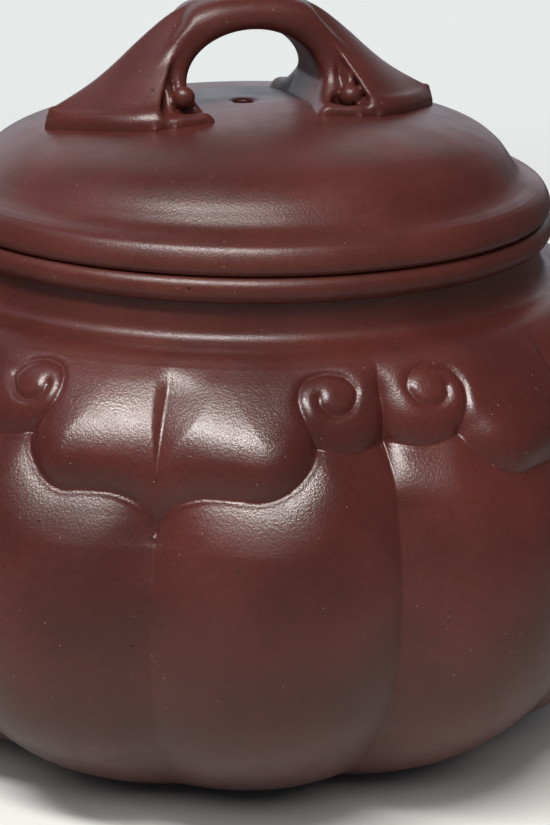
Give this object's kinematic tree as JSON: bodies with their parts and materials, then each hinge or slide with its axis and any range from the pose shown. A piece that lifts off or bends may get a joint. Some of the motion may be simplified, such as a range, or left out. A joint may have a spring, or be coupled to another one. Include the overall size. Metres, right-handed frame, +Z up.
{
  "type": "clay teapot",
  "caption": "Round ribbed clay teapot with raised ruyi heads on the shoulder, a hollow spout, an ear handle and an overlapping lid with a bridge knob that lifts off.",
  "frame": {"origin": "pot's axis at the plane the foot ring stands on", "axes": "+X towards the spout, -X towards the handle, +Z up through the knob"},
  "size_m": [0.158, 0.1024, 0.0851],
  "materials": {
    "body_clay": "satin unglazed stoneware",
    "relief_clay": "satin unglazed stoneware",
    "lid_clay": "satin unglazed stoneware",
    "inner_clay": "matt unglazed stoneware"
  },
  "bodies": {
    "pot": {"body_wall": "body_clay", "base_disc": "inner_clay", "foot_ring": "inner_clay", "shoulder_ring": "body_clay", "neck_ring": "body_clay", "mouth_ring": "body_clay", "ruyi_head_1": "relief_clay", "ruyi_head_2": "relief_clay", "ruyi_head_3": "relief_clay", "ruyi_head_4": "relief_clay", "ruyi_head_5": "relief_clay", "ruyi_head_6": "relief_clay", "scroll_pair_1": "relief_clay", "scroll_pair_2": "relief_clay", "scroll_pair_3": "relief_clay", "scroll_pair_4": "relief_clay", "scroll_pair_5": "relief_clay", "scroll_pair_6": "relief_clay", "spout": "body_clay", "strainer": "inner_clay", "handle": "body_clay"},
    "lid": {"lid_rim": "lid_clay", "lid_dome": "lid_clay", "lid_flange": "inner_clay", "knob_bridge": "lid_clay", "knob_leaf_left": "lid_clay", "knob_leaf_right": "lid_clay"}
  },
  "joints": [
    {"name": "lid_lift", "type": "slide", "parent": "pot", "child": "lid", "axis": [0, 0, 1], "range_m": [0, 0.06]}
  ]
}
